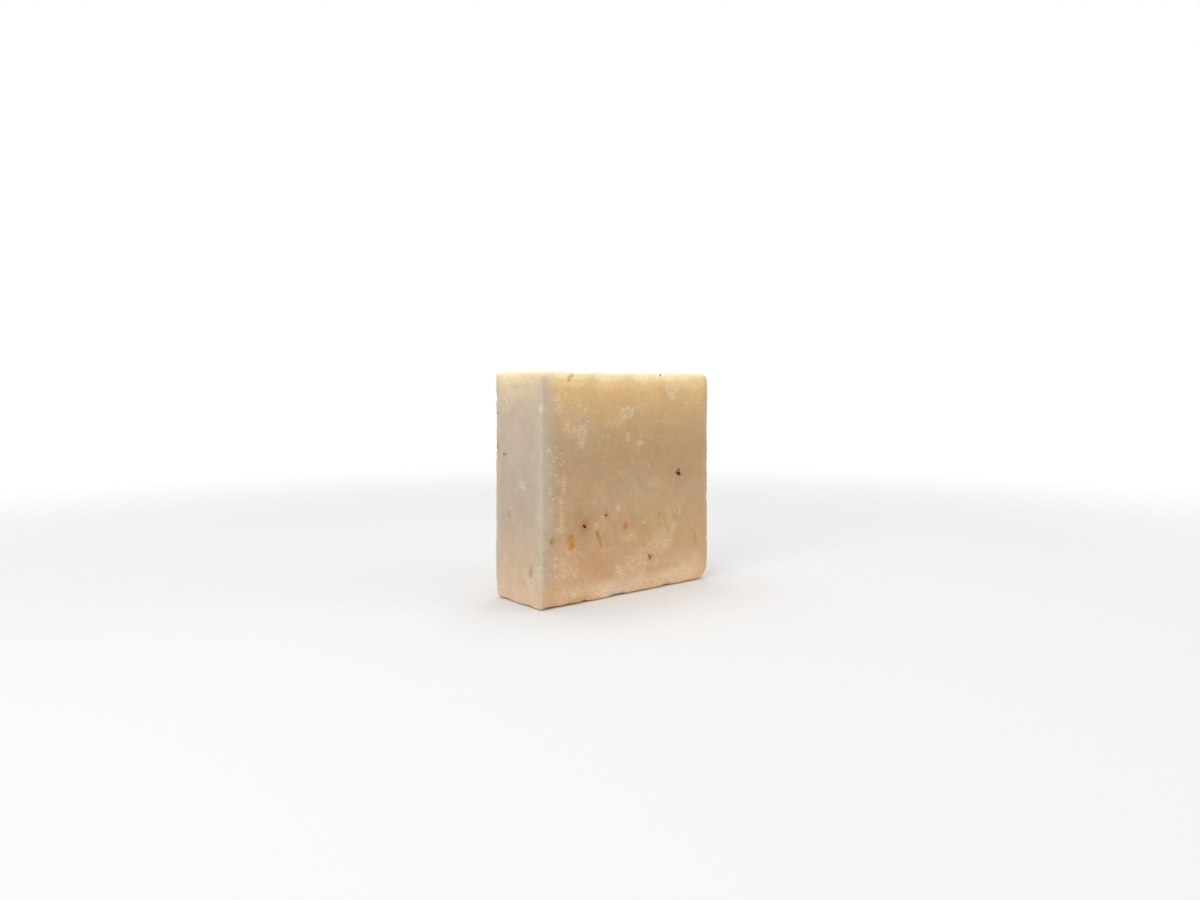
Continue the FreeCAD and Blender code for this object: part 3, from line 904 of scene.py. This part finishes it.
seed_material, tree, shader = new_material("seed")
spot_on = object_place(tree)
husk_cloud = placed(tree, cloud_group, Vector=spot_on, Size=0.35 * MM, Contrast=2.2)
seed_shades = painted(((0.2, 42, 14, 2), (0.6, 100, 44, 10), (1.0, 168, 92, 34)))
seed_colour = ramp(tree, husk_cloud, seed_shades)
tree.links.new(seed_colour, shader.inputs["Base Color"])
tree.links.new(calc(tree, "MULTIPLY_ADD", husk_cloud, 0.25, 0.5), shader.inputs["Roughness"])
shader.inputs["Specular IOR Level"].default_value = 0.06
add_bump(tree, shader, husk_cloud, 0.6, 0.05 * MM)
finish_piece("seeds", seeds, seed_material)

# The petals and straws: scraps of dried golden petals and plant straw, stirred in with
# the seeds. They lie flat in the surface, thin as paper, and follow its dents.

# scraps, by face: across, up, length, width and turn
PETALS = (
    ("front", ((-22.1, 18.1, 2.4, 2.10, 75), (-21.6, 16.2, 2.5, 2.10, 100), (-21.9, 61.5, 2.8, 1.15, 52))),
    ("back", (
        (12.0, 40.5, 3.6, 1.4, 32), (-12.5, 24.0, 3.0, 1.2, 110), (20.0, 12.0, 2.6, 1.1, 75),
        (2.0, 52.0, 2.2, 1.1, 15), (13.8, 41.4, 1.6, 0.9, 80),
    )),
    ("right", ((2.0, 34.5, 2.9, 1.2, 65), (-5.0, 52.0, 2.2, 0.9, 20))),
    ("crest", ((8.0, -2.0, 3.3, 1.3, 25), (-22.0, -5.0, 2.5, 1.1, 70), (24.0, 3.5, 2.2, 1.0, -30))),
    ("foot", ((-5.0, -3.0, 2.8, 1.2, 40),)),
)
STRAWS = (
    ("front", (
        (-12.3, 17.7, 3.4, 1.15, 108), (-11.5, 15.4, 1.6, 0.80, 100), (-28.5, 17.9, 1.0, 0.8, 10),
        (10.7, 21.8, 1.2, 0.38, 80),
    )),
    ("left", ((4.2, 23.8, 1.2, 0.35, 85), (-2.0, 25.2, 1.1, 0.3, 95), (10.4, 42.4, 1.8, 0.7, 88))),
    ("back", ((-26.0, 30.0, 3.0, 0.45, 40), (5.0, 31.0, 2.2, 0.45, 95), (26.5, 27.0, 2.0, 0.38, 60))),
    ("right", ((6.5, 41.0, 2.0, 0.38, 110),)),
    ("crest", ((-2.5, 4.2, 2.6, 0.42, -20), (13.0, 6.5, 1.8, 0.35, 60))),
)
SCRAP_THICKNESS = 0.03 * MM
SCRAP_RAY_START = 3 * MM


def add_scrap(mesh, spec, notch):
    """One thin, slightly curled scrap. Its UV map runs along it and across it."""
    face, across, up, length, width, turn = spec
    middle, out = on_soap_face(face, across, up)
    there = lying(middle + out * SCRAP_RAY_START, out, turn)
    layer = mesh.loops.layers.uv.verify()
    made = bmesh.ops.create_grid(mesh, x_segments=14, y_segments=6, size=1)
    faces = list(dict.fromkeys(face for vert in made["verts"] for face in vert.link_faces))
    along_across = {vert: vert.co.copy() for vert in made["verts"]}
    for scrap_face in faces:
        for loop in scrap_face.loops:
            loop[layer].uv = (along_across[loop.vert].x / 2 + 0.5, along_across[loop.vert].y / 2 + 0.5)
    for vert, (along, side, _) in along_across.items():
        torn = noise.noise(Vector((along * 2.3 + across, up, side)))
        girth = (1 - 0.85 * along ** 4) ** 0.5 * (0.78 + 0.22 * math.cos(1.4 * along + 0.5)) + notch * torn
        bend = 0.10 * width * math.sin(2.1 * along + across)
        flat = Vector((along * length / 2, side * width / 2 * max(girth, 0.3) + bend, 0))
        hit, _, _, _ = soap_skin.ray_cast(there @ (flat * MM), -out)
        lift = 0.025 + 0.012 * math.sin(2.6 * along + up) + 0.01 * torn - 0.01 * side * side
        vert.co = hit + out * lift * MM
    bmesh.ops.solidify(mesh, geom=faces, thickness=SCRAP_THICKNESS)


def scrap_material(name, shades, rim):
    """Dried plant stuff: fine veins along the scrap, and a soapy film towards its rim."""
    material, tree, shader = new_material(name)
    uv = put(tree, "ShaderNodeTexCoord").outputs["UV"]
    spot_on = object_place(tree)
    drawn_out = put(tree, "ShaderNodeMapping", {"Vector": uv, "Scale": (1.5, 9.0, 1.0)})
    veins = put(tree, "ShaderNodeTexNoise", {"Vector": drawn_out.outputs[0], "Scale": 1.6, "Detail": 3.0})
    vein = rising(tree, veins.outputs[0], 0.32, 0.68)
    cloud = placed(tree, cloud_group, Vector=spot_on, Size=0.9 * MM, Contrast=2.0)
    colour = ramp(tree, vein, painted(shades))
    u, v, _ = put(tree, "ShaderNodeSeparateXYZ", {0: uv}).outputs
    to_side = calc(tree, "ABSOLUTE", calc(tree, "SUBTRACT", v, 0.5))
    to_tip = calc(tree, "ABSOLUTE", calc(tree, "SUBTRACT", u, 0.5))
    outer = rising(tree, calc(tree, "MAXIMUM", to_side, to_tip), 0.30, 0.52)
    soapy = times(tree, outer, calc(tree, "MULTIPLY_ADD", cloud, 0.7, 0.25))
    colour = blend(tree, soapy, colour, rim)
    height = put(tree, "ShaderNodeSeparateXYZ", {0: spot_on}).outputs[2]
    # painted light near the crest: scraps there turn pale cream, like the crest's own painted glow
    painted_crest_glow = times(tree, rising(tree, height, HEIGHT - 5 * MM, HEIGHT), 0.8)
    colour = blend(tree, painted_crest_glow, colour, paint(252, 220, 142))
    tree.links.new(colour, shader.inputs["Base Color"])
    tree.links.new(calc(tree, "MULTIPLY_ADD", vein, 0.2, 0.45), shader.inputs["Roughness"])
    shader.inputs["Specular IOR Level"].default_value = 0.3
    add_bump(tree, shader, vein, 0.5, 0.04 * MM)
    return material


petals = bmesh.new()
for spec in each(PETALS):
    add_scrap(petals, spec, 0.30)
petal_shades = ((0.0, 156, 100, 28), (0.5, 196, 138, 40), (1.0, 218, 170, 72))
finish_piece("petal_scraps", petals, scrap_material("petal", petal_shades, paint(222, 182, 116)))

straws = bmesh.new()
for spec in each(STRAWS):
    add_scrap(straws, spec, 0.12)
straw_shades = ((0.0, 160, 112, 52), (0.5, 184, 136, 74), (1.0, 202, 158, 98))
finish_piece("straw_bits", straws, scrap_material("straw", straw_shades, paint(186, 150, 106)))

# The crumbs and smears: soap that the wire and fingers dragged up, dried pale on the
# surface. They lie in the drifts that the photograph shows, and thinly elsewhere.

CRUMB_FORMS = 5
CLEAR_OF_SEED = 0.75 * MM
# the smears and threads, in mm and degrees
SMEAR_LENGTH = (0.8, 1.9)
SMEAR_WIDTH = (0.20, 0.36)
SMEAR_THICKNESS = (0.06, 0.10)
SMEAR_SWAY = (-25, 25)
THREAD_STEP = 0.28  # between the crumbs of a thread
THREAD_LENGTH = (0.35, 0.95)
THREAD_STRAY = 0.09
THREAD_SWAY = 14

crumb_forms = []
for number in range(CRUMB_FORMS):
    form = bmesh.new()
    bmesh.ops.create_uvsphere(form, u_segments=8, v_segments=5, radius=1)
    for vert in form.verts:
        vert.co *= 1 + 0.55 * noise.noise(vert.co * 1.3 + Vector((9.7 * number, 0, 0)))
    form_mesh = bpy.data.meshes.new("crumb_form")
    form.to_mesh(form_mesh)
    form.free()
    crumb_forms.append(form_mesh)

crumbs = bmesh.new()


def add_crumb(face, across, up, length, width, thick, turn):
    """Sets one crumb, its sizes in mm, a little into the surface, where there is any."""
    place, out = seat(face, across, up)
    if place is None or any((place - seed_place).length < CLEAR_OF_SEED for seed_place in seed_places):
        return
    there = lying(place - out * SEED_SUNK * thick * MM, out, turn)
    there = there @ Matrix.Diagonal((length / 2 * MM, width / 2 * MM, thick / 2 * MM, 1))
    form_mesh = chance.choice(crumb_forms)
    crumbs.from_mesh(form_mesh)
    crumbs.verts.ensure_lookup_table()
    for vert in crumbs.verts[-len(form_mesh.vertices):]:
        vert.co = there @ vert.co


for face, across, up, half_length, half_width, turn, count, smear_share in each(DRIFTS):
    for _ in range(count):
        crumb_across, crumb_up = drift_point(across, up, half_length, half_width, turn)
        if chance.random() < smear_share:
            length, width = chance.uniform(*SMEAR_LENGTH), chance.uniform(*SMEAR_WIDTH)
            thick, heading = chance.uniform(*SMEAR_THICKNESS), turn + chance.uniform(*SMEAR_SWAY)
        else:
            length = 0.22 + 0.50 * chance.random() ** 2
            width, heading = length * chance.uniform(0.6, 1.0), chance.uniform(0, 180)
            thick = width * chance.uniform(0.22, 0.36)
        add_crumb(face, crumb_across, crumb_up, length, width, thick, heading)

for face, across, up, across_end, up_end, width, fullness in each(RUB_MARKS):
    start, out = on_soap_face(face, across, up)
    run = on_soap_face(face, across_end, up_end)[0] - start
    level = level_on(out)
    heading = math.degrees(math.atan2(run.dot(out.cross(level)), run.dot(level)))
    steps = max(2, round(run.length / MM / THREAD_STEP))
    for step in range(steps):
        if chance.random() < fullness:
            share = (step + chance.random()) / steps
            add_crumb(
                face, across + (across_end - across) * share + chance.gauss(0, THREAD_STRAY),
                up + (up_end - up) * share + chance.gauss(0, THREAD_STRAY),
                chance.uniform(*THREAD_LENGTH), width * chance.uniform(0.5, 1.0),
                chance.uniform(*SMEAR_THICKNESS), heading + chance.gauss(0, THREAD_SWAY),
            )
for form_mesh in crumb_forms:
    bpy.data.meshes.remove(form_mesh)

crumb_material, tree, shader = new_material("dried_soap_crumb")
spot_on = object_place(tree)
crumb_cloud = placed(tree, cloud_group, Vector=spot_on, Size=1.4 * MM, Contrast=2.4)
x, _, z = put(tree, "ShaderNodeSeparateXYZ", {0: spot_on}).outputs
on_end = rising(tree, calc(tree, "ABSOLUTE", x), HIGH.x - 0.9 * MM, HIGH.x - 0.3 * MM)
crumb_colour = powder_tone(tree, x, z, calc(tree, "DIVIDE", z, HEIGHT), on_end)
worn_tone = ramp(tree, crumb_cloud, ((0.0, (0.86, 0.85, 0.84, 1.0)), (0.7, (1.0, 1.0, 1.0, 1.0))))
crumb_colour = blend(tree, 1.0, crumb_colour, worn_tone, "MULTIPLY")
tree.links.new(crumb_colour, shader.inputs["Base Color"])
tree.links.new(calc(tree, "MULTIPLY_ADD", crumb_cloud, 0.2, 0.5), shader.inputs["Roughness"])
add_bump(tree, shader, placed(tree, wax_relief_group, Vector=spot_on, Drag=0.0), 0.4, 0.05 * MM)
let_light_in(shader, 0.3, 0.8 * MM)
finish_piece("soap_crumbs", crumbs, crumb_material)

# The stand-in studio: a pale floor that turns to plain white away from the bar, a white
# surround, and soft lamps at the left, overhead and at the right.

FLOOR_HALF = 2.0  # in metres, as the next two are
SHADOW_REACH = 0.16  # the floor keeps its own shade this far from the bar
WHITE_REACH = 0.42
FLOOR_SHADE = 0.82
ROOM_LIGHT = 0.55
WHITE = (1.0, 1.0, 1.0, 1.0)
SOFTBOXES = (  # name, place and side in metres, and watts
    ("left_softbox", (-0.55, -0.18, 0.30), 0.40, 1.5), ("overhead_softbox", (0.05, 0.10, 0.70), 0.50, 2.2),
    ("right_softbox", (0.45, -0.50, 0.25), 0.40, 0.8),
)


def seen_straight(tree):
    """1 for what is seen straight, in a gloss or through glass, and 0 for the light on the bar."""
    ways = put(tree, "ShaderNodeLightPath").outputs
    return strongest(tree, [ways[f"Is {way} Ray"] for way in ("Camera", "Transmission", "Glossy")])


floor_mesh = bmesh.new()
bmesh.ops.create_grid(floor_mesh, x_segments=1, y_segments=1, size=FLOOR_HALF)
floor_data = bpy.data.meshes.new("floor")
floor_mesh.to_mesh(floor_data)
floor_mesh.free()
floor = link_object("floor", floor_data)

floor_material, tree, shader = new_material("floor")
shader.inputs["Base Color"].default_value = (FLOOR_SHADE, FLOOR_SHADE, FLOOR_SHADE, 1.0)
shader.inputs["Roughness"].default_value = 0.9
shader.inputs["Specular IOR Level"].default_value = 0.1
away = put(tree, "ShaderNodeVectorMath", {0: object_place(tree)}, operation="LENGTH").outputs["Value"]
share = times(tree, seen_straight(tree), rising(tree, away, SHADOW_REACH, WHITE_REACH))
white = put(tree, "ShaderNodeEmission", {"Color": WHITE, "Strength": 1.0})
mix = put(tree, "ShaderNodeMixShader", {0: share, 1: shader.outputs[0], 2: white.outputs[0]})
tree.links.new(mix.outputs[0], tree.nodes["Material Output"].inputs["Surface"])
floor_data.materials.append(floor_material)

world = bpy.data.worlds.new("studio")
bpy.context.scene.world = world
world.use_nodes = True
tree = world.node_tree
tree.nodes.clear()
room_light = put(tree, "ShaderNodeBackground", {"Color": WHITE, "Strength": ROOM_LIGHT}).outputs[0]
backdrop = put(tree, "ShaderNodeBackground", {"Color": WHITE, "Strength": 1.0}).outputs[0]
mix = put(tree, "ShaderNodeMixShader", {0: seen_straight(tree), 1: room_light, 2: backdrop})
put(tree, "ShaderNodeOutputWorld", {"Surface": mix.outputs[0]})

for name, place, side, watts in SOFTBOXES:
    lamp = bpy.data.lights.new(name, "AREA")
    lamp.shape = "SQUARE"
    lamp.size = side
    lamp.energy = watts
    softbox = link_object(name, lamp)
    softbox.location = place
    aim = Vector((0, 0, HEIGHT / 2)) - softbox.location
    softbox.rotation_euler = aim.to_track_quat("-Z", "Y").to_euler()

# The camera stands where the photograph's did, level and a little below the crest.

PHOTO_WIDTH = 1200
PHOTO_HEIGHT = 900
FOCAL_PIXELS = 875.5
AXIS_PIXEL = (614.0, 389.1)  # where the photograph looks straight ahead
CAMERA_PLACE = Vector((-0.16646, -0.19702, 0.05823))
CAMERA_TURN = -40.67  # degrees from looking along +Y, clockwise from above

lens = bpy.data.cameras.new("camera")
lens.sensor_fit = "HORIZONTAL"
lens.sensor_width = 36.0
lens.lens = FOCAL_PIXELS / PHOTO_WIDTH * lens.sensor_width
lens.shift_x = (PHOTO_WIDTH / 2 - AXIS_PIXEL[0]) / PHOTO_WIDTH
lens.shift_y = (AXIS_PIXEL[1] - PHOTO_HEIGHT / 2) / PHOTO_WIDTH
lens.clip_start = 0.005
camera = link_object("camera", lens)
camera.location = CAMERA_PLACE
camera.rotation_euler = (math.radians(90), 0.0, math.radians(CAMERA_TURN))
bpy.context.scene.camera = camera
bpy.context.scene.view_settings.view_transform = "Standard"
